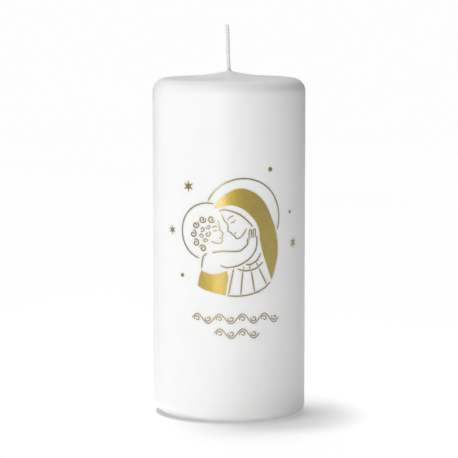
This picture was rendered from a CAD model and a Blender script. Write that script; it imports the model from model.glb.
"""White dipped pillar candle with a gold-foil motif: its finished pieces, their finishes and the studio."""

import logging
import math
from collections.abc import Callable, Iterable
from dataclasses import dataclass, field, replace
from enum import Enum

import bmesh
import bpy
from bpy.types import Material, Mesh, Node, NodeSocket, NodeTree, Object
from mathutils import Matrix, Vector, noise


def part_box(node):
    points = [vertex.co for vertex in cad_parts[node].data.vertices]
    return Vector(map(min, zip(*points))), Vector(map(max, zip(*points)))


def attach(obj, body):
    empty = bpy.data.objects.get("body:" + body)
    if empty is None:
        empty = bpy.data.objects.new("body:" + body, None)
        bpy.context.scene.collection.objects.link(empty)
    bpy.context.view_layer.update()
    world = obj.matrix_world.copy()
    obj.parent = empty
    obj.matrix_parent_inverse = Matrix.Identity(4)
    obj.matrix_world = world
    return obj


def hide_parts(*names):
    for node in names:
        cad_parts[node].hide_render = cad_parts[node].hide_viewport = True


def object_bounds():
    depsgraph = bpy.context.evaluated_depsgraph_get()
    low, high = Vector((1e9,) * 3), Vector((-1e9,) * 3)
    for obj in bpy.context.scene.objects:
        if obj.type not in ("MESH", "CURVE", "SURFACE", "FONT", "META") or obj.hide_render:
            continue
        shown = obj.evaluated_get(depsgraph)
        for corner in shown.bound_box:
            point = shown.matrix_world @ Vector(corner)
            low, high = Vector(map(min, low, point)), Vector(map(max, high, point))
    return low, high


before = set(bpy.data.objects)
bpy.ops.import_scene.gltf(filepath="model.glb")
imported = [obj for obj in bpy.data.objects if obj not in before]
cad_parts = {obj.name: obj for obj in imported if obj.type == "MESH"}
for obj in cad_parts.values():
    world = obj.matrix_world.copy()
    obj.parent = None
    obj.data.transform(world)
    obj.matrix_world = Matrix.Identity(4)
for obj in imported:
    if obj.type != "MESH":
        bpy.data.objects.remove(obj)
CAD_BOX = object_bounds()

log = logging.getLogger("candle")

MM = 0.001
BODY = "root"
WELD = 1e-6
WHITE = (1.0, 1.0, 1.0, 1.0)
WAX_IOR = 1.44
WICK_CLEARANCE = 0.15 * MM
TAB_SHEET = 0.3 * MM
TAB_FILLET = 0.6 * MM
TABLE_NAME = "pale_table"
BRAID_NAME = "braided_wick"
SLEEVE_NAME = "wick_sleeve"

Point = tuple[float, float]
Span = tuple[float, float]
Groups = dict[str, NodeTree]


class Slot(Enum):
    """Material slots of the record."""

    COAT = "coat_wax"
    CORE = "core_wax"
    SLEEVE = "wick_wax"
    COTTON = "cotton"
    TAB = "tinned_steel"
    FOIL = "gold_foil"


# ---- Modelling bench ----


def deselect() -> None:
    """Leaves edit mode and deselects every object."""
    if bpy.context.mode != "OBJECT":
        bpy.ops.object.mode_set(mode="OBJECT")
    bpy.ops.object.select_all(action="DESELECT")


def pick(piece: Object) -> None:
    """Makes one piece the only selected and active object.

    Args:
        piece: The piece to work on.
    """
    deselect()
    piece.select_set(True)
    bpy.context.view_layer.objects.active = piece


def edit(piece: Object) -> None:
    """Opens one piece in edit mode, with its whole mesh selected.

    Args:
        piece: The piece to work on.
    """
    pick(piece)
    bpy.ops.object.mode_set(mode="EDIT")
    bpy.ops.mesh.select_mode(type="VERT")
    bpy.ops.mesh.select_all(action="SELECT")


def select_points(piece: Object, choose: Callable[[bmesh.types.BMesh], Iterable]) -> None:
    """Selects some vertices of a piece that is open in edit mode, and what they bound.

    Args:
        piece: The piece.
        choose: Gives the vertices to select from the mesh.
    """
    mesh = bmesh.from_edit_mesh(piece.data)
    mesh.verts.ensure_lookup_table()
    chosen = list(choose(mesh))
    bpy.ops.mesh.select_all(action="DESELECT")
    for vertex in chosen:
        vertex.select_set(True)
    mesh.select_flush(True)
    bmesh.update_edit_mesh(piece.data)


def chain(name: str, points: list[Point], closed: bool = True) -> Object:
    """Draws an outline in the XZ plane by extruding one vertex from point to point.

    Args:
        name: Name of the new piece.
        points: Places as (x, z), in metres.
        closed: Whether an edge joins the last point to the first.

    Returns:
        The piece, which holds only edges.
    """
    deselect()
    start = Vector((points[0][0], 0.0, points[0][1]))
    bpy.ops.mesh.primitive_plane_add(size=MM, location=start, enter_editmode=False)
    piece = bpy.context.active_object
    piece.name = piece.data.name = name
    bpy.ops.object.transform_apply(location=True)
    edit(piece)
    bpy.ops.mesh.merge(type="CENTER")
    for (x0, z0), (x1, z1) in zip(points, points[1:]):
        bpy.ops.mesh.extrude_vertices_move(TRANSFORM_OT_translate={"value": (x1 - x0, 0.0, z1 - z0)})
    if closed:
        select_points(piece, lambda mesh: [v for v in mesh.verts if len(v.link_edges) == 1])
        bpy.ops.mesh.edge_face_add()
    bpy.ops.object.mode_set(mode="OBJECT")
    return piece


def lathe(name: str, outline: list[Point], steps: int) -> Object:
    """Turns a closed half outline round the Z axis into a closed shell.

    Args:
        name: Name of the new piece.
        outline: Places as (radius, height), in metres.
        steps: Number of steps round the axis.

    Returns:
        The turned piece, with its faces pointing outwards.
    """
    piece = chain(name, outline)
    edit(piece)
    bpy.ops.mesh.spin(steps=steps, angle=math.tau, center=(0.0, 0.0, 0.0), axis=(0.0, 0.0, 1.0))
    bpy.ops.mesh.select_all(action="SELECT")
    bpy.ops.mesh.remove_doubles(threshold=WELD)
    bpy.ops.mesh.normals_make_consistent(inside=False)
    bpy.ops.object.mode_set(mode="OBJECT")
    return piece


def reshape(piece: Object, move: Callable[[Vector], Vector]) -> None:
    """Moves every vertex of a piece to the place that a rule gives.

    Args:
        piece: The piece to reshape.
        move: Gives a vertex's new place from its old one.
    """
    for vertex in piece.data.vertices:
        vertex.co = move(vertex.co.copy())
    piece.data.update()


def smooth(piece: Object, angle: float = 30.0) -> None:
    """Shades a piece smooth, apart from edges sharper than an angle.

    Args:
        piece: The piece to shade.
        angle: The angle, in degrees.
    """
    pick(piece)
    bpy.ops.object.shade_smooth_by_angle(angle=math.radians(angle))


def arc(centre: Point, radius: float, start: float, stop: float, steps: int) -> list[Point]:
    """Places along an arc.

    Args:
        centre: Middle of the arc, as (x, z).
        radius: Radius of the arc.
        start: First angle, in degrees from +X.
        stop: Last angle, in degrees.
        steps: Number of steps between the ends.

    Returns:
        The places, both ends among them.
    """
    angles = [math.radians(start + (stop - start) * i / steps) for i in range(steps + 1)]
    return [(centre[0] + radius * math.cos(a), centre[1] + radius * math.sin(a)) for a in angles]


def between(start: Point, stop: Point, steps: int) -> list[Point]:
    """Evenly spaced places strictly between two points.

    Args:
        start: Point before the first place.
        stop: Point after the last place.
        steps: Number of steps from start to stop.

    Returns:
        The places.
    """
    return [
        (start[0] + (stop[0] - start[0]) * i / steps, start[1] + (stop[1] - start[1]) * i / steps)
        for i in range(1, steps)
    ]


def install(piece: Object, node: str, slot: Slot, finish: Material) -> Object:
    """Dresses a piece and puts it in the place of its CAD node.

    Args:
        piece: The modelled piece.
        node: The CAD node that it stands for.
        slot: The record's material slot that it takes its finish from.
        finish: Its material.

    Returns:
        The same piece.
    """
    piece.data.materials.clear()
    piece.data.materials.append(finish)
    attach(piece, BODY)
    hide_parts(node)
    return piece


# ---- Shader node groups ----


def fill(node: Node, **values: float | tuple) -> None:
    """Sets plain values on a node's inputs.

    Args:
        node: The node.
        **values: Values by input, with underscores for the spaces in the names.
    """
    for key, value in values.items():
        node.inputs[key.replace("_", " ")].default_value = value


class TreeBuilder:
    """A node tree that nodes and links are added to."""

    def __init__(self, tree: NodeTree) -> None:
        """Takes the tree."""
        self.tree = tree

    def node(self, kind: str, **settings: object) -> Node:
        """Adds a node.

        Args:
            kind: Type name of the node.
            **settings: Properties to set on it.

        Returns:
            The node.
        """
        node = self.tree.nodes.new(kind)
        for key, value in settings.items():
            setattr(node, key, value)
        return node

    def link(self, source: NodeSocket, target: NodeSocket) -> None:
        """Joins two sockets."""
        self.tree.links.new(source, target)

    def math(self, operation: str, first: object, second: object) -> NodeSocket:
        """Works out a sum of sockets or numbers.

        Args:
            operation: Name of the operation.
            first: First socket or number.
            second: Second socket or number.

        Returns:
            The result.
        """
        node = self.node("ShaderNodeMath", operation=operation)
        for socket, value in zip(node.inputs, (first, second)):
            if isinstance(value, float):
                socket.default_value = value
            else:
                self.link(value, socket)
        return node.outputs["Value"]


class GroupBuilder(TreeBuilder):
    """A node group that turns a place and some numbers into one value."""

    def __init__(self, name: str, output: str, **numbers: float) -> None:
        """Makes the group with its sockets.

        Args:
            name: Name of the group.
            output: Name of its output.
            **numbers: Default values by input, with underscores for the spaces in the names.
        """
        super().__init__(bpy.data.node_groups.new(name, "ShaderNodeTree"))
        self.inputs = self.node("NodeGroupInput")
        self.outputs = self.node("NodeGroupOutput")
        sockets = self.tree.interface
        sockets.new_socket("Vector", in_out="INPUT", socket_type="NodeSocketVector")
        for key, value in numbers.items():
            socket = sockets.new_socket(key.replace("_", " "), in_out="INPUT", socket_type="NodeSocketFloat")
            socket.default_value = value
        sockets.new_socket(output, in_out="OUTPUT", socket_type="NodeSocketFloat")

    def given(self, name: str) -> NodeSocket:
        """The value of one of the group's inputs."""
        return self.inputs.outputs[name]

    def feed(self, node: Node, **sources: str) -> None:
        """Joins the group's inputs to a node's.

        Args:
            node: The node.
            **sources: The group's inputs by the node's, with underscores for the spaces in the names.
        """
        for key, source in sources.items():
            self.link(self.given(source.replace("_", " ")), node.inputs[key.replace("_", " ")])

    def finish(self, value: NodeSocket) -> NodeTree:
        """Gives out a value.

        Args:
            value: The value.

        Returns:
            The finished group.
        """
        self.link(value, self.outputs.inputs[0])
        return self.tree


def mottle_group() -> NodeTree:
    """Builds the slow blotches of cast and dipped surfaces.

    Returns:
        A group that turns a place into a value that drifts between Low and High.
    """
    group = GroupBuilder("mottle", "Value", Scale=60.0, Detail=3.0, Low=0.0, High=1.0)
    blotch = group.node("ShaderNodeTexNoise")
    group.feed(blotch, Vector="Vector", Scale="Scale", Detail="Detail")
    spread = group.node("ShaderNodeMapRange")
    fill(spread, From_Min=0.3, From_Max=0.7)
    group.link(blotch.outputs["Fac"], spread.inputs["Value"])
    group.feed(spread, To_Min="Low", To_Max="High")
    return group.finish(spread.outputs["Result"])


def grain_group() -> NodeTree:
    """Builds the fine skin of a surface: a broad swell under a fine grain.

    Returns:
        A group that turns a place into a height in metres.
    """
    group = GroupBuilder("grain", "Height", Swell_Scale=90.0, Swell_Height=0.00003, Grain_Scale=2500.0,
                         Grain_Height=0.000002)
    heights = []
    for word in ("Swell", "Grain"):
        wave = group.node("ShaderNodeTexNoise")
        fill(wave, Detail=2.0)
        group.feed(wave, Vector="Vector", Scale=f"{word}_Scale")
        heights.append(group.math("MULTIPLY", wave.outputs["Fac"], group.given(f"{word} Height")))
    return group.finish(group.math("ADD", *heights))


def specks_group() -> NodeTree:
    """Builds sparse round specks, such as pinholes and dust.

    Returns:
        A group that turns a place into a mask, 1 in a speck and 0 elsewhere.
    """
    group = GroupBuilder("specks", "Mask", Scale=1500.0, Share=0.1, Size=0.25)
    cells = group.node("ShaderNodeTexVoronoi")
    group.feed(cells, Vector="Vector", Scale="Scale")
    draw = group.node("ShaderNodeSeparateColor")
    group.link(cells.outputs["Color"], draw.inputs["Color"])
    chosen = group.math("LESS_THAN", draw.outputs["Red"], group.given("Share"))
    edge = group.node("ShaderNodeMapRange", interpolation_type="SMOOTHSTEP")
    fill(edge, From_Max=0.0)
    group.link(cells.outputs["Distance"], edge.inputs["Value"])
    group.feed(edge, From_Min="Size")
    return group.finish(group.math("MULTIPLY", edge.outputs["Result"], chosen))


# ---- Finishes ----


@dataclass(frozen=True)
class Tone:
    """A linear colour."""

    red: float
    green: float
    blue: float

    def rgba(self) -> tuple[float, float, float, float]:
        """The colour as a socket value."""
        return (self.red, self.green, self.blue, 1.0)


class MaterialBuilder(TreeBuilder):
    """A new material with its shader, object coordinates and shared groups."""

    def __init__(self, name: str, groups: Groups) -> None:
        """Makes the material.

        Args:
            name: Name of the material.
            groups: The shared node groups by name.
        """
        self.material = bpy.data.materials.new(name)
        self.material.use_nodes = True
        super().__init__(self.material.node_tree)
        self.groups = groups
        self.shader = self.tree.nodes["Principled BSDF"]
        self.places = self.node("ShaderNodeTexCoord").outputs["Object"]

    def set(self, **values: float | tuple) -> None:
        """Sets plain values on the shader, with underscores for the spaces in the names."""
        fill(self.shader, **values)

    def give(self, name: str, source: NodeSocket) -> None:
        """Joins a socket to one of the shader's inputs.

        Args:
            name: Name of the shader's input.
            source: The socket.
        """
        self.link(source, self.shader.inputs[name])

    def group(self, name: str, vector: NodeSocket | None = None,
              **values: float) -> NodeSocket:
        """Places a shared group.

        Args:
            name: Name of the group.
            vector: Places that it reads, or None for the object's own.
            **values: Values of its inputs, with underscores for the spaces in the names.

        Returns:
            What the group gives out.
        """
        node = self.node("ShaderNodeGroup", node_tree=self.groups[name])
        fill(node, **values)
        self.link(vector or self.places, node.inputs["Vector"])
        return node.outputs[0]

    def stretched(self, scale: tuple[float, float, float]) -> NodeSocket:
        """The object's own places, scaled along each axis.

        Args:
            scale: Factors along X, Y and Z.

        Returns:
            The scaled places.
        """
        node = self.node("ShaderNodeMapping")
        fill(node, Scale=scale)
        self.link(self.places, node.inputs["Vector"])
        return node.outputs["Vector"]

    def blend(self, mask: NodeSocket, below: object, above: object) -> NodeSocket:
        """Mixes two colours by a mask.

        Args:
            mask: Share of the second colour.
            below: First colour, a Tone or a socket.
            above: Second colour, a Tone or a socket.

        Returns:
            The mixed colour.
        """
        mix = self.node("ShaderNodeMix", data_type="RGBA")
        self.link(mask, mix.inputs["Factor"])
        for name, colour in (("A", below), ("B", above)):
            socket = next(s for s in mix.inputs if s.name == name and s.type == "RGBA")
            if isinstance(colour, Tone):
                socket.default_value = colour.rgba()
            else:
                self.link(colour, socket)
        return next(s for s in mix.outputs if s.type == "RGBA")

    def spread(self, value: NodeSocket, ends: Span) -> NodeSocket:
        """Turns a 0 to 1 value into a range.

        Args:
            value: The value.
            ends: Results at 0 and at 1.

        Returns:
            The new value.
        """
        node = self.node("ShaderNodeMapRange")
        fill(node, To_Min=ends[0], To_Max=ends[1])
        self.link(value, node.inputs["Value"])
        return node.outputs["Result"]

    def bump(self, height: NodeSocket) -> None:
        """Feeds a height in metres to the shader's normal.

        Args:
            height: The height.
        """
        node = self.node("ShaderNodeBump")
        fill(node, Strength=1.0, Distance=1.0)
        self.link(height, node.inputs["Height"])
        self.give("Normal", node.outputs["Normal"])


@dataclass(frozen=True)
class Finish:
    """A named finish. Each kind dresses its material in its own way."""

    name: str

    def dress(self, build: MaterialBuilder) -> None:
        """Sets the shader up.

        Args:
            build: The new material.
        """
        raise NotImplementedError

    def make(self, groups: Groups) -> Material:
        """Builds the material.

        Args:
            groups: The shared node groups by name.

        Returns:
            The material.
        """
        build = MaterialBuilder(self.name, groups)
        self.dress(build)
        return build.material


@dataclass(frozen=True)
class Wax(Finish):
    """A wax: soft gloss, a little light let in, slow mottling and a fine skin."""

    clear: Tone
    cloudy: Tone
    roughness: Span
    light_depth: float
    swell_height: float
    grain_height: float
    grain_scale: float = 2600.0
    mottle_scale: float = 70.0
    sheen_fineness: float = 3.0
    light_share: float = 0.6

    def dress(self, build: MaterialBuilder) -> None:
        """Sets the shader up.

        Args:
            build: The new material.
        """
        build.set(IOR=WAX_IOR, Specular_IOR_Level=0.5, Subsurface_Weight=self.light_share,
                  Subsurface_Radius=(1.0, 0.92, 0.84), Subsurface_Scale=self.light_depth)
        clouds = build.group("mottle", Scale=self.mottle_scale, Detail=3.0)
        build.give("Base Color", build.blend(clouds, self.clear, self.cloudy))
        build.give("Roughness", build.group("mottle", Scale=self.mottle_scale * self.sheen_fineness,
                                            Detail=4.0, Low=self.roughness[0], High=self.roughness[1]))
        build.bump(build.group("grain", Swell_Height=self.swell_height, Grain_Scale=self.grain_scale,
                               Grain_Height=self.grain_height))


@dataclass(frozen=True)
class PressedWax(Finish):
    """Granulated wax pressed to a block: flat granules with dull seams between them."""

    granule: Tone
    seam: Tone
    granule_scale: float = 620.0
    cloud_coarseness: float = 0.4
    seam_width: float = 0.16
    seam_share: float = 0.75
    roughness: Span = (0.62, 0.4)
    granule_height: float = 0.00006

    def dress(self, build: MaterialBuilder) -> None:
        """Sets the shader up.

        Args:
            build: The new material.
        """
        build.set(IOR=WAX_IOR, Subsurface_Weight=0.5, Subsurface_Radius=(1.0, 0.9, 0.8),
                  Subsurface_Scale=0.001)
        seams = build.node("ShaderNodeTexVoronoi", feature="DISTANCE_TO_EDGE")
        fill(seams, Scale=self.granule_scale)
        build.link(build.places, seams.inputs["Vector"])
        edge = build.node("ShaderNodeMapRange", interpolation_type="SMOOTHSTEP")
        fill(edge, From_Max=self.seam_width)
        build.link(seams.outputs["Distance"], edge.inputs["Value"])
        inside = edge.outputs["Result"]
        clouds = build.group("mottle", Scale=self.granule_scale * self.cloud_coarseness)
        body = build.blend(clouds, self.granule, self.seam)
        mask = build.spread(inside, (self.seam_share, 0.0))
        build.give("Base Color", build.blend(mask, body, self.seam))
        build.give("Roughness", build.spread(inside, self.roughness))
        build.bump(build.spread(inside, (0.0, self.granule_height)))


@dataclass(frozen=True)
class Cotton(Finish):
    """Bleached cotton yarn, with fibres that run along the strands."""

    light: Tone
    dark: Tone
    across_scale: float = 5200.0
    along_scale: float = 700.0
    fibre_height: float = 0.00003

    def dress(self, build: MaterialBuilder) -> None:
        """Sets the shader up.

        Args:
            build: The new material.
        """
        build.set(Roughness=0.82, Sheen_Weight=0.3, Sheen_Roughness=0.5)
        along = build.stretched((1.0, 1.0, self.along_scale / self.across_scale))
        fibres = build.group("mottle", along, Scale=self.across_scale, Detail=4.0)
        build.give("Base Color", build.blend(fibres, self.light, self.dark))
        build.bump(build.spread(fibres, (self.fibre_height, 0.0)))


@dataclass(frozen=True)
class TinnedSteel(Finish):
    """Stamped tin plate, with rolling lines, a few scratches and a film of wax in places."""

    bright: Tone
    dull: Tone
    wax_film: Tone
    rolling_stretch: float = 0.06
    roughness: Span = (0.2, 0.32)
    film_roughness: float = 0.2
    line_height: float = 0.000004

    def dress(self, build: MaterialBuilder) -> None:
        """Sets the shader up.

        Args:
            build: The new material.
        """
        rolled = build.stretched((self.rolling_stretch, 1.0, 1.0))
        lines = build.group("mottle", rolled, Scale=5000.0, Detail=2.0)
        metal = build.blend(lines, self.bright, self.dull)
        film = build.math("MAXIMUM", build.group("mottle", Scale=420.0, Detail=5.0, Low=-0.9, High=0.9), 0.0)
        build.give("Base Color", build.blend(film, metal, self.wax_film))
        build.give("Metallic", build.spread(film, (1.0, 0.0)))
        build.give("Roughness", build.math("ADD", build.spread(lines, self.roughness),
                                           build.spread(film, (0.0, self.film_roughness))))
        build.bump(build.spread(lines, (0.0, self.line_height)))


@dataclass(frozen=True)
class GoldFoil(Finish):
    """Hot-stamped gold foil under its lacquer, with the wax's skin showing through and a few pinholes."""

    gold: Tone
    deep_gold: Tone
    wax: Tone
    roughness: Span
    lacquer: float
    lacquer_roughness: float
    lacquer_ior: float

    def dress(self, build: MaterialBuilder) -> None:
        """Sets the shader up.

        Args:
            build: The new material.
        """
        build.set(Coat_Weight=self.lacquer, Coat_Roughness=self.lacquer_roughness, Coat_IOR=self.lacquer_ior)
        metal = build.blend(build.group("mottle", Scale=420.0, Detail=5.0), self.gold, self.deep_gold)
        holes = build.group("specks", Scale=1900.0, Share=0.035, Size=0.22)
        build.give("Base Color", build.blend(holes, metal, self.wax))
        build.give("Metallic", build.spread(holes, (1.0, 0.0)))
        build.give("Roughness", build.group("mottle", Scale=900.0, Detail=4.0, Low=self.roughness[0],
                                            High=self.roughness[1]))
        build.bump(build.group("grain", Swell_Scale=260.0, Swell_Height=0.00002, Grain_Scale=3200.0,
                               Grain_Height=0.0000025))


@dataclass(frozen=True)
class TableTop(Finish):
    """Plain pale table top."""

    light: Tone
    shade: Tone
    glow: float

    def dress(self, build: MaterialBuilder) -> None:
        """Sets the shader up.

        Args:
            build: The new material.
        """
        build.set(Roughness=0.7, Specular_IOR_Level=0.2, Emission_Color=WHITE, Emission_Strength=self.glow)
        build.give("Base Color", build.blend(build.group("mottle", Scale=3.0), self.light, self.shade))


COAT_WAX = Wax("white_coat_wax", Tone(0.91, 0.915, 0.908), Tone(0.892, 0.897, 0.89), (0.36, 0.46),
               light_depth=0.0012, swell_height=0.00003, grain_height=0.0000015)
SLEEVE_WAX = Wax("wick_sleeve_wax", Tone(0.92, 0.92, 0.905), Tone(0.88, 0.88, 0.86), (0.34, 0.46),
                 light_depth=0.0006, swell_height=0.00001, grain_height=0.000003, grain_scale=4200.0,
                 mottle_scale=700.0)
CORE_WAX = PressedWax("pressed_core_wax", Tone(0.87, 0.86, 0.82), Tone(0.77, 0.75, 0.69))
COTTON = Cotton("bleached_cotton", Tone(0.86, 0.84, 0.77), Tone(0.7, 0.67, 0.58))
TIN = TinnedSteel("tinned_steel_sheet", Tone(0.74, 0.75, 0.77), Tone(0.6, 0.61, 0.63), Tone(0.85, 0.84, 0.8))
FOIL = GoldFoil("stamped_gold_foil", Tone(0.51, 0.36, 0.02), Tone(0.45, 0.315, 0.015), Tone(0.9, 0.9, 0.88),
                roughness=(0.4, 0.5), lacquer=1.0, lacquer_roughness=0.22, lacquer_ior=1.9)
LINE_FOIL = replace(FOIL, name="stamped_gold_foil_lines", gold=Tone(0.34, 0.24, 0.03),
                    deep_gold=Tone(0.28, 0.195, 0.02))
TABLE = TableTop("pale_table_top", Tone(0.86, 0.86, 0.86), Tone(0.84, 0.84, 0.84), glow=0.225)


# ---- Candle body ----


@dataclass
class CandleBody:
    """The pressed core and the white coat dipped over it. Sizes in metres."""

    radius: float
    core_radius: float
    core_top: float
    bore_radius: float
    wick_radius: float
    sleeve_radius: float
    tab_radius: float
    tab_top: float
    neck_top: float
    shoulder: float = 5.8 * MM
    foot: float = 5.0 * MM
    foot_tilt: float = 1.5 * MM
    foot_nicks: float = 0.14 * MM
    crown_fall: float = 0.4 * MM
    cone_height: float = 3.1 * MM
    cone_reach: float = 11.0 * MM
    meniscus: float = 0.75 * MM
    meniscus_top: float = 0.9 * MM
    side_reshaped_to: float = 14.0 * MM
    dip_depth: float = 0.05 * MM
    granule_depth: float = 0.08 * MM
    recess_clearance: float = 0.25 * MM
    recess_bevel: float = 0.35 * MM
    inner_share: float = 0.25
    swell_waves: Span = (42.0, 17.0)
    swell_share: float = 0.42
    ripple_waves: Span = (130.0, 45.0)
    ripple_share: float = 0.18
    dip_fade: float = 10.0 * MM
    granules_per_metre: float = 640.0
    granule_sharpness: float = 4.0
    granule_margin: float = 0.2 * MM
    crown_rows: int = 26
    crown_crowding: float = 1.5
    climb_rows: int = 7
    side_rows: int = 48
    round_steps: int = 14
    steps: int = 256

    @classmethod
    def from_frame(cls) -> "CandleBody":
        """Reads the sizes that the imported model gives.

        Returns:
            The candle body.
        """
        coat_low, coat_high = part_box("wax_coat")
        core_low, core_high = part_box("wax_core")
        tab_low, tab_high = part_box("wick_tab")
        wick_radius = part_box("wick")[1].y
        return cls(
            radius=coat_high.x,
            core_radius=core_high.x,
            core_top=core_high.z,
            bore_radius=wick_radius + WICK_CLEARANCE,
            wick_radius=wick_radius,
            sleeve_radius=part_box("wick_priming")[1].y,
            tab_radius=tab_high.x,
            tab_top=tab_low.z + TAB_SHEET,
            neck_top=tab_high.z,
        )

    @property
    def coat(self) -> float:
        """Thickness of the coat."""
        return self.radius - self.core_radius

    @property
    def edge(self) -> float:
        """Height of the crown's outer edge."""
        return self.core_top + self.coat

    @property
    def crown_radius(self) -> float:
        """Radius where the crown meets the shoulder."""
        return self.radius - self.shoulder

    def crown(self, radius: float) -> float:
        """Height of the crown.

        Args:
            radius: Distance from the axis.

        Returns:
            The height above the table.
        """
        far = math.exp(-self.crown_radius / self.cone_reach)
        drawn_up = (math.exp(-radius / self.cone_reach) - far) / (1.0 - far)
        fall = self.crown_fall * (radius / self.crown_radius) ** 2
        return self.edge + self.crown_fall - fall + self.cone_height * drawn_up

    def core_outline(self) -> list[Point]:
        """Half outline of the core's outside, from the foot up to the flat top.

        Returns:
            Places as (radius, height).
        """
        foot = arc((self.core_radius - self.foot, self.foot), self.foot, -90, 0, 8)
        top = arc((self.crown_radius, self.edge - self.shoulder), self.shoulder - self.coat, 0, 90, 8)
        return foot + between(foot[-1], top[0], 6) + top

    def coat_outline(self) -> list[Point]:
        """Closed half outline of the coat.

        Returns:
            Places as (radius, height).
        """
        foot = arc((self.radius - self.foot, self.foot), self.foot, -90, 0, self.round_steps)
        shoulder = arc((self.crown_radius, self.edge - self.shoulder), self.shoulder, 0, 90, self.round_steps)
        side = between(foot[-1], shoulder[0], self.side_rows)
        near = self.sleeve_radius + self.meniscus
        crown = []
        for row in range(1, self.crown_rows + 1):
            radius = near + (self.crown_radius - near) * (1.0 - row / self.crown_rows) ** self.crown_crowding
            crown.append((radius, self.crown(radius)))
        exit_height = self.crown(near)
        climb = []
        for row in range(1, self.climb_rows + 1):
            share = row / self.climb_rows
            climb.append((near - self.meniscus * share, exit_height + self.meniscus_top * share ** 3))
        bore = [(self.wick_radius, climb[-1][1] - 0.1 * MM), (self.wick_radius, self.core_top)]
        under = between(bore[-1], (self.crown_radius, self.core_top), 8)
        return foot + side + shoulder + crown + climb + bore + under + self.core_outline()[::-1]

    def foot_radius(self, azimuth: float) -> float:
        """Rounding of the foot, which the hot plate levelled a little aslant.

        Args:
            azimuth: Angle round the axis from +X, in radians.

        Returns:
            The radius of the rounding.
        """
        place = Vector((math.cos(azimuth), math.sin(azimuth), 0.0))
        nick = noise.noise(place * 9.0) + 0.5 * noise.noise(place * 23.0)
        return self.foot - self.foot_tilt * math.cos(azimuth) + self.foot_nicks * nick

    def level_foot(self, place: Vector) -> Vector:
        """Rounds the foot more at -X and less at +X.

        Args:
            place: A place on the coat's outside.

        Returns:
            Its new place.
        """
        radius = math.hypot(place.x, place.y)
        skin = self.inner_share * self.coat
        centre = self.radius - self.foot
        from_centre = math.hypot(radius - centre, place.z - self.foot)
        on_foot = place.z < self.foot - WELD and from_centre > self.foot - skin and radius > centre - WELD
        azimuth = math.atan2(place.y, place.x)
        new = self.foot_radius(azimuth)
        if on_foot:
            scale = new / self.foot
            new_radius = self.radius + (radius - self.radius) * scale
            new_height = place.z * scale
        elif radius > self.core_radius + skin and self.foot - WELD <= place.z < self.side_reshaped_to:
            share = (self.side_reshaped_to - place.z) / (self.side_reshaped_to - self.foot)
            new_radius, new_height = radius, place.z + (new - self.foot) * share
        else:
            return place
        return Vector((math.cos(azimuth) * new_radius, math.sin(azimuth) * new_radius, new_height))

    def dip(self, place: Vector) -> Vector:
        """Sinks the coat's outside a little where the dip was thinner.

        Args:
            place: A place on the coat.

        Returns:
            Its new place.
        """
        radius = math.hypot(place.x, place.y)
        outside = radius > self.core_radius + 0.6 * self.coat and place.z > self.foot
        crown = place.z > self.edge - 0.5 * self.coat and radius > self.sleeve_radius + self.meniscus
        if not (outside or crown):
            return place
        swell, ripple = (
            noise.noise(Vector((place.x * across, place.y * across, place.z * along)) + offset)
            for (across, along), offset in (
                (self.swell_waves, Vector()), (self.ripple_waves, Vector((7.0, 3.0, 1.0))))
        )
        share = 0.5 + self.swell_share * swell + self.ripple_share * ripple
        depth = self.dip_depth * min(1.0, max(0.0, share))
        fade = min(1.0, max(0.0, (place.z - self.foot) / self.dip_fade))
        if crown and radius < self.crown_radius:
            return place - Vector((0.0, 0.0, depth * fade))
        return place - Vector((place.x, place.y, 0.0)).normalized() * depth * fade

    def build_coat(self) -> Object:
        """Models the coat.

        Returns:
            The coat.
        """
        piece = lathe("dipped_coat", self.coat_outline(), self.steps)
        reshape(piece, self.level_foot)
        reshape(piece, self.dip)
        smooth(piece)
        return piece

    def press(self, place: Vector) -> Vector:
        """Lifts the core's underside a little between its granules.

        Args:
            place: A place on the core.

        Returns:
            Its new place.
        """
        radius = math.hypot(place.x, place.y)
        edge = min(radius - self.tab_radius - 2.0 * self.recess_clearance,
                   self.core_radius - self.foot - radius)
        if place.z > WELD or edge < self.granule_margin:
            return place
        cells = noise.voronoi(place * self.granules_per_metre)[0]
        seam = max(0.0, 1.0 - (cells[1] - cells[0]) * self.granule_sharpness)
        return place + Vector((0.0, 0.0, self.granule_depth * seam))

    def build_core(self) -> Object:
        """Models the core.

        Returns:
            The core.
        """
        recess, bevel, ceiling = self.tab_radius + self.recess_clearance, self.recess_bevel, self.tab_top
        neck = self.wick_radius + TAB_SHEET + WICK_CLEARANCE
        outside = self.core_outline()
        bore_top = (self.bore_radius, self.core_top)
        neck_end = self.neck_top + WICK_CLEARANCE
        inside = [
            bore_top,
            *between(bore_top, (self.bore_radius, neck_end), 6),
            (self.bore_radius, neck_end),
            (neck, neck_end),
            (neck, ceiling + TAB_FILLET),
            *arc((neck + TAB_FILLET, ceiling + TAB_FILLET), TAB_FILLET, -180, -90, 4)[1:],
            *between((neck + TAB_FILLET, ceiling), (recess - bevel, ceiling), 5),
            *arc((recess - bevel, ceiling - bevel), bevel, 90, 0, 4),
            *arc((recess + bevel, bevel), bevel, 180, 270, 4),
        ]
        base = between(inside[-1], outside[0], 26)
        piece = lathe("pressed_core", outside + inside + base, self.steps)
        reshape(piece, self.press)
        smooth(piece)
        return piece

    def build(self, coat: Material, core: Material) -> Iterable[Object]:
        """Models and installs both pieces.

        Args:
            coat: Material of the coat.
            core: Material of the core.

        Yields:
            Each finished piece.
        """
        yield install(self.build_coat(), "wax_coat", Slot.COAT, coat)
        yield install(self.build_core(), "wax_core", Slot.CORE, core)


# ---- Wick ----


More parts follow.
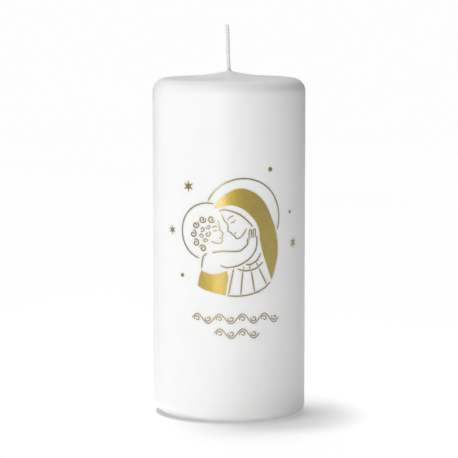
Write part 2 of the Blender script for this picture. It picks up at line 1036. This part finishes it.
@dataclass
class WickAssembly:
    """The braided wick, the wax sleeve on its free end and its tab. Sizes in metres."""

    wick_radius: float
    sleeve_radius: float
    foot: float
    exit: float
    top: float
    tab_radius: float
    tab_foot: float
    neck_top: float
    leans: tuple[float, ...] = (3.5, 0.8, 3.2)
    elbow: float = 18.0 * MM
    tip_slant: float = 18.0
    pitch: float = 4.5 * MM
    strand_radius: float = 0.28 * MM
    weave_x: float = 0.38 * MM
    weave_y: float = 0.3 * MM
    bead_radius: float = 5.2 * MM
    bead_depth: float = 0.25 * MM
    bead_width: float = 0.9 * MM
    valley_depth: float = 0.22 * MM
    wrinkle_depth: float = 0.012 * MM
    wrinkles_per_metre: float = 1500.0
    crimp: tuple[float, float, float] = (0.95, 0.84, 1.0)
    crimp_reach: float = 0.8 * MM
    strands: int = 3
    chain_steps: int = 12
    drift_steps: int = 40
    sleeve_steps: int = 40
    sleeve_rows: int = 84
    tab_steps: int = 96
    tab_rows: int = 26

    @classmethod
    def from_frame(cls) -> "WickAssembly":
        """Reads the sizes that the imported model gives.

        Returns:
            The wick assembly.
        """
        wick_low, wick_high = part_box("wick")
        sleeve_low, sleeve_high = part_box("wick_priming")
        tab_low, tab_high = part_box("wick_tab")
        return cls(
            wick_radius=wick_high.y,
            sleeve_radius=sleeve_high.y,
            foot=wick_low.z,
            exit=sleeve_low.z,
            top=sleeve_high.z,
            tab_radius=tab_high.x,
            tab_foot=tab_low.z,
            neck_top=tab_high.z,
        )

    def drift(self, height: float) -> float:
        """Sideways place of the wick's middle line.

        Args:
            height: Height above the table.

        Returns:
            The X of the middle line.
        """
        if height <= self.exit:
            return 0.0
        third = (self.top - self.exit) / len(self.leans)
        x = 0.0
        rise = (height - self.exit) / self.drift_steps
        for step in range(self.drift_steps):
            above = rise * (step + 0.5)
            index = min(len(self.leans) - 1, int(above / third))
            before = self.leans[index - 1] if index else 0.0
            turn = abs(math.radians(self.leans[index] - before)) * self.elbow
            share = min(1.0, (above - index * third) / max(turn, WELD))
            x -= math.tan(math.radians(before + (self.leans[index] - before) * share)) * rise
        return x

    def lean(self, place: Vector) -> Vector:
        """Carries a place sideways with the wick's middle line."""
        return place + Vector((self.drift(place.z), 0.0, 0.0))

    def weave(self, turn: float) -> Point:
        """Place of a strand in the wick's cross-section.

        Args:
            turn: Progress along the braid, in radians.

        Returns:
            The place as (x, y).
        """
        return self.weave_x * math.sin(turn), self.weave_y * math.sin(2.0 * turn)

    def cut_tip(self, piece: Object, sink: float) -> None:
        """Cuts a piece off at the slant of the tip and closes the cut.

        Args:
            piece: The piece to cut.
            sink: Distance by which the cut lies lower than the slant that meets the top.
        """
        slant = math.radians(self.tip_slant)
        middle = Vector((self.drift(self.top), 0.0, self.top - math.tan(slant) * self.sleeve_radius - sink))
        edit(piece)
        bpy.ops.mesh.bisect(plane_co=middle, plane_no=(math.sin(slant), 0.0, math.cos(slant)),
                            use_fill=True, clear_outer=True)
        bpy.ops.mesh.select_all(action="SELECT")
        bpy.ops.mesh.normals_make_consistent(inside=False)
        bpy.ops.object.mode_set(mode="OBJECT")

    def build_braid(self) -> Object:
        """Models the three-strand braid.

        Returns:
            The braid.
        """
        turns = [math.tau * i / self.chain_steps for i in range(self.chain_steps + 1)]
        first = self.foot - self.pitch
        outline = [(self.weave(t)[0], first + self.pitch * t / math.tau) for t in turns]
        piece = chain(BRAID_NAME, outline, closed=False)
        side = {round(z / WELD): self.weave(t)[1] for (x, z), t in zip(outline, turns)}
        reshape(piece, lambda p: Vector((p.x, side[min(side, key=lambda k: abs(k - p.z / WELD))], p.z)))
        pick(piece)
        repeat = piece.modifiers.new("repeat", "ARRAY")
        repeat.count = math.ceil((self.top - first) / self.pitch) + 2
        repeat.use_relative_offset = False
        repeat.use_constant_offset = True
        repeat.constant_offset_displace = (0.0, 0.0, self.pitch)
        repeat.use_merge_vertices = True
        repeat.merge_threshold = 0.02 * MM
        bpy.ops.object.modifier_apply(modifier=repeat.name)
        for strand in range(1, self.strands):
            edit(piece)
            select_points(piece, lambda mesh: mesh.verts[:len(mesh.verts) // strand])
            bpy.ops.mesh.duplicate_move(
                TRANSFORM_OT_translate={"value": (0.0, 0.0, -self.pitch * strand / self.strands)})
            bpy.ops.object.mode_set(mode="OBJECT")
        reshape(piece, self.lean)
        pick(piece)
        bpy.ops.object.convert(target="CURVE")
        piece.data.bevel_depth = self.strand_radius
        piece.data.bevel_resolution = 2
        piece.data.use_fill_caps = True
        bpy.ops.object.convert(target="MESH")
        edit(piece)
        bpy.ops.mesh.remove_doubles(threshold=WELD)
        bpy.ops.mesh.bisect(plane_co=(0.0, 0.0, self.foot), plane_no=(0.0, 0.0, 1.0), use_fill=True,
                            clear_inner=True)
        bpy.ops.object.mode_set(mode="OBJECT")
        self.cut_tip(piece, sink=0.14 * MM)
        smooth(piece, 40.0)
        return piece

    def plump(self, place: Vector) -> Vector:
        """Swells the sleeve over the strands and sinks it between them.

        Args:
            place: A place on the plain sleeve.

        Returns:
            Its new place.
        """
        radius = math.hypot(place.x, place.y)
        if radius < 0.5 * (self.wick_radius + self.sleeve_radius):
            return place
        ray = (place.x / radius, place.y / radius)
        turn = math.tau * (place.z - self.foot) / self.pitch
        reach = 0.0
        for strand in range(self.strands):
            x, y = self.weave(turn + math.tau * strand / self.strands)
            reach = max(reach, x * ray[0] + y * ray[1] + self.strand_radius)
        valley = max(0.0, self.wick_radius - reach) / self.wick_radius
        wrinkle = self.wrinkle_depth * (noise.noise(place * self.wrinkles_per_metre) - 0.5)
        new = min(self.sleeve_radius, self.sleeve_radius - self.valley_depth * valley + wrinkle)
        return Vector((ray[0] * new, ray[1] * new, place.z))

    def build_sleeve(self) -> Object:
        """Models the wax sleeve.

        Returns:
            The sleeve.
        """
        foot, top = self.exit, self.top + self.sleeve_radius
        corners = [(self.sleeve_radius, foot), (self.sleeve_radius, top), (self.wick_radius, top),
                   (self.wick_radius, foot)]
        outline = [corners[0], *between(corners[0], corners[1], self.sleeve_rows), corners[1], corners[2],
                   *between(corners[2], corners[3], 12), corners[3]]
        piece = lathe(SLEEVE_NAME, outline, self.sleeve_steps)
        reshape(piece, self.plump)
        reshape(piece, self.lean)
        self.cut_tip(piece, sink=0.06 * MM)
        smooth(piece, 40.0)
        return piece

    def tab_outline(self) -> list[Point]:
        """Closed half outline of the tab, a disc with a bead and a neck.

        Returns:
            Places as (radius, height).
        """
        sheet, fillet, foot = TAB_SHEET, TAB_FILLET, self.tab_foot
        neck = self.wick_radius + sheet
        rim = sheet / 2.0

        def sag(radius: float) -> float:
            """Depth of the bead at a radius."""
            share = abs(radius - self.bead_radius) / self.bead_width
            return self.bead_depth * 0.5 * (1.0 + math.cos(math.pi * min(1.0, share)))

        start, rows = neck + fillet, []
        for row in range(self.tab_rows + 1):
            rows.append(start + (self.tab_radius - rim - neck - fillet) * row / self.tab_rows)
        under = [(r, foot - sag(r)) for r in rows]
        over = [(r, foot + sheet - sag(r)) for r in rows[::-1]]
        edge = arc((self.tab_radius - rim, foot + rim), rim, -90, 90, 6)[1:-1]
        bend = arc((start, foot + sheet + fillet), fillet, 270, 180, 6)[1:]
        lip = arc((neck - rim, self.neck_top - rim), rim, 0, 180, 6)
        mouth = arc((self.wick_radius + fillet, foot + fillet), fillet, 180, 270, 6)
        wall = between(bend[-1], lip[0], 8)
        bore = between(lip[-1], mouth[0], 8)
        return [*under, *edge, *over, *bend, *wall, *lip, *bore, *mouth]

    def build_tab(self) -> Object:
        """Models the tab and crimps its neck on the wick.

        Returns:
            The tab.
        """
        piece = lathe("wick_tab_disc", self.tab_outline(), self.tab_steps)
        middle = 0.5 * (self.neck_top + self.tab_foot + TAB_SHEET + TAB_FILLET)
        near, far = self.wick_radius + 0.5 * TAB_SHEET, self.wick_radius + 2.0 * TAB_SHEET
        edit(piece)
        select_points(piece, lambda mesh: [
            v for v in mesh.verts
            if near < math.hypot(v.co.x, v.co.y) < far and abs(v.co.z - middle) < self.crimp_reach])
        bpy.ops.transform.resize(value=self.crimp, center_override=(0.0, 0.0, middle))
        bpy.ops.object.mode_set(mode="OBJECT")
        smooth(piece, 40.0)
        return piece

    def build(self, cotton: Material, wax: Material,
              tin: Material) -> Iterable[Object]:
        """Models and installs the three pieces.

        Args:
            cotton: Material of the braid.
            wax: Material of the sleeve.
            tin: Material of the tab.

        Yields:
            Each finished piece.
        """
        yield install(self.build_braid(), "wick", Slot.COTTON, cotton)
        yield install(self.build_sleeve(), "wick_priming", Slot.SLEEVE, wax)
        yield install(self.build_tab(), "wick_tab", Slot.TAB, tin)


# ---- Foil ----


@dataclass
class FoilMotif:
    """The stamped foil, one patch or group of patches for each CAD node, laid true round the candle."""

    radius: float
    nodes: tuple[str, ...] = (
        "halo_large", "halo_small", "veil", "wimple_edge", "mother_face", "child_face", "child_curls",
        "child_back", "child_arm", "child_tunic", "collar", "dress_folds", "dress_hem",
        "star_upper_left", "star_left", "star_right", "dot_upper_right", "dot_right", "dot_left",
        "scroll_upper", "scroll_lower",
    )
    solid_nodes: tuple[str, ...] = ("veil", "child_tunic")
    strip: float = 1.5
    flat_within: float = 0.1

    @classmethod
    def from_frame(cls) -> "FoilMotif":
        """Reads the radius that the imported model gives.

        Returns:
            The motif.
        """
        return cls(radius=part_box("wax_coat")[1].x)

    def lay(self, node: str, thickness: float) -> Object:
        """Copies one CAD node, cuts it in narrow upright strips and lays them on the true round.

        Args:
            node: Name of the CAD node.
            thickness: Thickness of the foil.

        Returns:
            The patch.
        """
        piece = bpy.data.objects.new(f"foil_{node}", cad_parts[node].data.copy())
        bpy.context.scene.collection.objects.link(piece)
        piece.data.name = piece.name
        edit(piece)
        bpy.ops.mesh.remove_doubles(threshold=WELD)
        bpy.ops.mesh.dissolve_limited(angle_limit=math.radians(self.flat_within))
        low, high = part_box(node)
        reach = math.degrees(math.asin(min(1.0, max(abs(low.x), abs(high.x)) / self.radius)))
        cuts = int(reach / self.strip) + 1
        for cut in range(-cuts, cuts + 1):
            azimuth = math.radians(cut * self.strip)
            if not low.x - MM < math.sin(azimuth) * self.radius < high.x + MM:
                continue
            bpy.ops.mesh.select_all(action="SELECT")
            bpy.ops.mesh.bisect(plane_co=(0.0, 0.0, 0.0),
                                plane_no=(math.cos(azimuth), math.sin(azimuth), 0.0))
        self.lay_true(piece, thickness)
        pick(piece)
        bpy.ops.object.shade_smooth(keep_sharp_edges=True)
        self.aim_normals(piece.data)
        return piece

    @staticmethod
    def aim_normals(mesh: Mesh) -> None:
        """Aims the shading normals of a patch's face and back straight out from the axis and in to it.

        Args:
            mesh: Mesh of the patch.
        """
        normals = [Vector()] * len(mesh.loops)
        for face in mesh.polygons:
            side = round(face.normal.dot(Vector((face.center.x, face.center.y, 0.0)).normalized()))
            for corner in face.loop_indices:
                place = mesh.vertices[mesh.loops[corner].vertex_index].co
                normals[corner] = Vector((place.x, place.y, 0.0)).normalized() * side if side else face.normal
        mesh.normals_split_custom_set(normals)

    def lay_true(self, piece: Object, thickness: float) -> None:
        """Puts the face and the back of a patch on the true round, and marks the edge round each as sharp.

        Args:
            piece: The patch, open in edit mode. It is left in object mode.
            thickness: Thickness of the foil.
        """
        mesh = bmesh.from_edit_mesh(piece.data)
        mesh.normal_update()
        outward = {}
        for face in mesh.faces:
            middle = face.calc_center_median()
            outward[face] = round(face.normal.dot(Vector((middle.x, middle.y, 0.0)).normalized()))
        bpy.ops.mesh.select_all(action="DESELECT")
        bpy.ops.mesh.select_mode(type="EDGE")
        for edge in mesh.edges:
            edge.select_set(len({outward[face] for face in edge.link_faces}) > 1)
        bmesh.update_edit_mesh(piece.data)
        bpy.ops.mesh.mark_sharp()
        for vertex in mesh.verts:
            sides = {outward[face] for face in vertex.link_faces} - {0}
            if len(sides) == 1:
                radius = self.radius + (thickness if sides == {1} else 0.0)
                scale = radius / math.hypot(vertex.co.x, vertex.co.y)
                vertex.co = Vector((vertex.co.x * scale, vertex.co.y * scale, vertex.co.z))
        bmesh.update_edit_mesh(piece.data)
        bpy.ops.object.mode_set(mode="OBJECT")

    def build(self, solid: Material, line: Material) -> Iterable[Object]:
        """Lays and installs every patch.

        Args:
            solid: Material of the solid areas.
            line: Material of the lines and other small patches.

        Yields:
            Each finished patch.
        """
        thickness = -CAD_BOX[0].y - self.radius
        for node in self.nodes:
            finish = solid if node in self.solid_nodes else line
            yield install(self.lay(node, thickness), node, Slot.FOIL, finish)


# ---- Studio ----


class Receiver(Enum):
    """What a light falls on: the named pieces, and whether they alone take the light or alone miss it."""

    CANDLE = ((TABLE_NAME,), "EXCLUDE")
    TABLE = ((TABLE_NAME,), "INCLUDE")
    WICK = ((BRAID_NAME, SLEEVE_NAME), "INCLUDE")


@dataclass(frozen=True)
class Lamp:
    """A light round the candle. Azimuth is from the front, positive to the right."""

    name: str
    azimuth: float
    elevation: float

    def hang(self, kind: str, distance: float, target: Vector, receiver: Receiver) -> Object:
        """Hangs the light and faces it to its target.

        Args:
            kind: Type of the light.
            distance: Distance from the target.
            target: Place that it faces.
            receiver: What the light falls on.

        Returns:
            The light.
        """
        light = bpy.data.objects.new(self.name, bpy.data.lights.new(self.name, kind))
        bpy.context.scene.collection.objects.link(light)
        turn, rise = math.radians(self.azimuth), math.radians(self.elevation)
        away = Vector((math.sin(turn) * math.cos(rise), -math.cos(turn) * math.cos(rise), math.sin(rise)))
        light.location = target + away * distance
        light.rotation_euler = (-away).to_track_quat("-Z", "Y").to_euler()
        light.visible_camera = False
        names, state = receiver.value
        receivers = bpy.data.collections.new(f"{self.name}_receivers")
        for name in names:
            receivers.objects.link(bpy.data.objects[name])
        for member in receivers.collection_objects:
            member.light_linking.link_state = state
        light.light_linking.receiver_collection = receivers
        return light


@dataclass(frozen=True)
class Softbox(Lamp):
    """A soft light on the candle.

    A light that isn't mirrored leaves no gloss on the wax, as one behind a large scrim.
    """

    width: float
    height: float
    watts: float
    receiver: Receiver = Receiver.CANDLE
    mirrored: bool = True
    distance: float = 1.1

    def place(self, target: Vector) -> None:
        """Hangs the light.

        Args:
            target: Place that it faces.
        """
        light = self.hang("AREA", self.distance, target, self.receiver)
        light.data.shape = "RECTANGLE"
        light.data.size, light.data.size_y = self.width, self.height
        light.data.energy = self.watts
        light.visible_glossy = self.mirrored


@dataclass(frozen=True)
class CeilingLight(Lamp):
    """A far, broad light on the table."""

    spread: float
    strength: float
    distance: float = 2.0

    def place(self, target: Vector) -> None:
        """Hangs the light.

        Args:
            target: Place that it faces.
        """
        light = self.hang("SUN", self.distance, target, Receiver.TABLE)
        light.data.angle = math.radians(self.spread)
        light.data.energy = self.strength


@dataclass
class Studio:
    """Pale table, soft lights, pale surroundings and the camera. Sizes in metres."""

    lights: tuple[Softbox | CeilingLight, ...] = (
        Softbox("side_softbox", -110.0, 20.0, 0.6, 0.9, 2.1),
        Softbox("left_softbox", -60.0, 20.0, 0.6, 0.9, 0.48),
        Softbox("front_softbox", -35.0, 20.0, 0.6, 0.9, 0.6),
        Softbox("front_strip", -14.0, 14.0, 0.3, 0.8, 5.18),
        Softbox("high_softbox", -60.0, 50.0, 0.6, 0.6, 2.41),
        Softbox("top_softbox", -60.0, 75.0, 0.7, 0.7, 0.93),
        Softbox("back_softbox", 180.0, 55.0, 0.8, 0.8, 7.8, mirrored=False),
        Softbox("wick_softbox", 15.0, 15.0, 0.5, 0.5, 3.7, Receiver.WICK),
        CeilingLight("ceiling_left", -120.0, 79.0, 8.0, 0.75),
        CeilingLight("ceiling_side", -150.0, 78.0, 8.0, 0.31),
        CeilingLight("ceiling_wide", -150.0, 80.0, 30.0, 0.41),
        CeilingLight("ceiling_far", 180.0, 60.0, 40.0, 0.68),
        CeilingLight("ceiling_back", 180.0, 80.0, 10.0, 0.24),
        CeilingLight("ceiling_front", -60.0, 80.0, 10.0, 0.66),
    )
    table_size: float = 3.0
    table_thickness: float = 0.05
    surround: float = 0.01
    backdrop: float = 0.985
    target: Vector = field(default_factory=lambda: Vector((0.0, 0.0, 0.08)))
    camera_place: Vector = field(default_factory=lambda: Vector((0.0, -1.1, 0.205)))
    camera_tilt: float = -6.378
    lens: float = 194.5
    film: float = 36.0

    def build_table(self, finish: Material) -> None:
        """Makes the table top, a slab whose upper face is at z = 0.

        Args:
            finish: Material of the table.
        """
        deselect()
        bpy.ops.mesh.primitive_cylinder_add(vertices=128, radius=self.table_size / 2,
                                            depth=self.table_thickness,
                                            location=(0.0, 0.0, -self.table_thickness / 2))
        table = bpy.context.active_object
        table.name = TABLE_NAME
        bpy.ops.object.transform_apply(location=True)
        table.data.materials.append(finish)

    def build_world(self) -> None:
        """Lights the surroundings, dim for the light they cast and pale for what the camera sees."""
        world = bpy.data.worlds.new("studio_surroundings")
        bpy.context.scene.world = world
        world.use_nodes = True
        build = TreeBuilder(world.node_tree)
        shown, cast = build.tree.nodes["Background"], build.node("ShaderNodeBackground")
        fill(shown, Color=WHITE, Strength=self.backdrop)
        fill(cast, Color=WHITE, Strength=self.surround)
        rays = build.node("ShaderNodeLightPath")
        mix = build.node("ShaderNodeMixShader")
        build.link(rays.outputs["Is Camera Ray"], mix.inputs["Fac"])
        build.link(cast.outputs["Background"], mix.inputs[1])
        build.link(shown.outputs["Background"], mix.inputs[2])
        build.link(mix.outputs["Shader"], build.tree.nodes["World Output"].inputs["Surface"])

    def build_camera(self) -> None:
        """Sets up the camera."""
        data = bpy.data.cameras.new("studio_camera")
        data.lens = self.lens
        data.sensor_width = self.film
        data.clip_end = 20.0
        camera = bpy.data.objects.new("studio_camera", data)
        bpy.context.scene.collection.objects.link(camera)
        camera.location = self.camera_place
        camera.rotation_euler = (math.radians(90.0 + self.camera_tilt), 0.0, 0.0)
        bpy.context.scene.camera = camera

    def build(self, table: Material) -> None:
        """Sets the whole studio up.

        Args:
            table: Material of the table.
        """
        self.build_table(table)
        self.build_world()
        for light in self.lights:
            light.place(self.target)
            log.info("light %s", light.name)
        self.build_camera()
        bpy.context.scene.view_settings.view_transform = "Standard"


def main() -> None:
    """Builds the candle and its studio in order."""
    logging.basicConfig(level=logging.INFO, format="%(name)s: %(message)s")
    groups = {"mottle": mottle_group(), "grain": grain_group(), "specks": specks_group()}
    body = CandleBody.from_frame()
    wick = WickAssembly.from_frame()
    motif = FoilMotif.from_frame()
    steps = (
        body.build(COAT_WAX.make(groups), CORE_WAX.make(groups)),
        wick.build(COTTON.make(groups), SLEEVE_WAX.make(groups), TIN.make(groups)),
        motif.build(FOIL.make(groups), LINE_FOIL.make(groups)),
    )
    for pieces in steps:
        for piece in pieces:
            log.info("piece %s: %d faces", piece.name, len(piece.data.polygons))
    Studio().build(TABLE.make(groups))
    deselect()


if __name__ == "__main__":
    main()
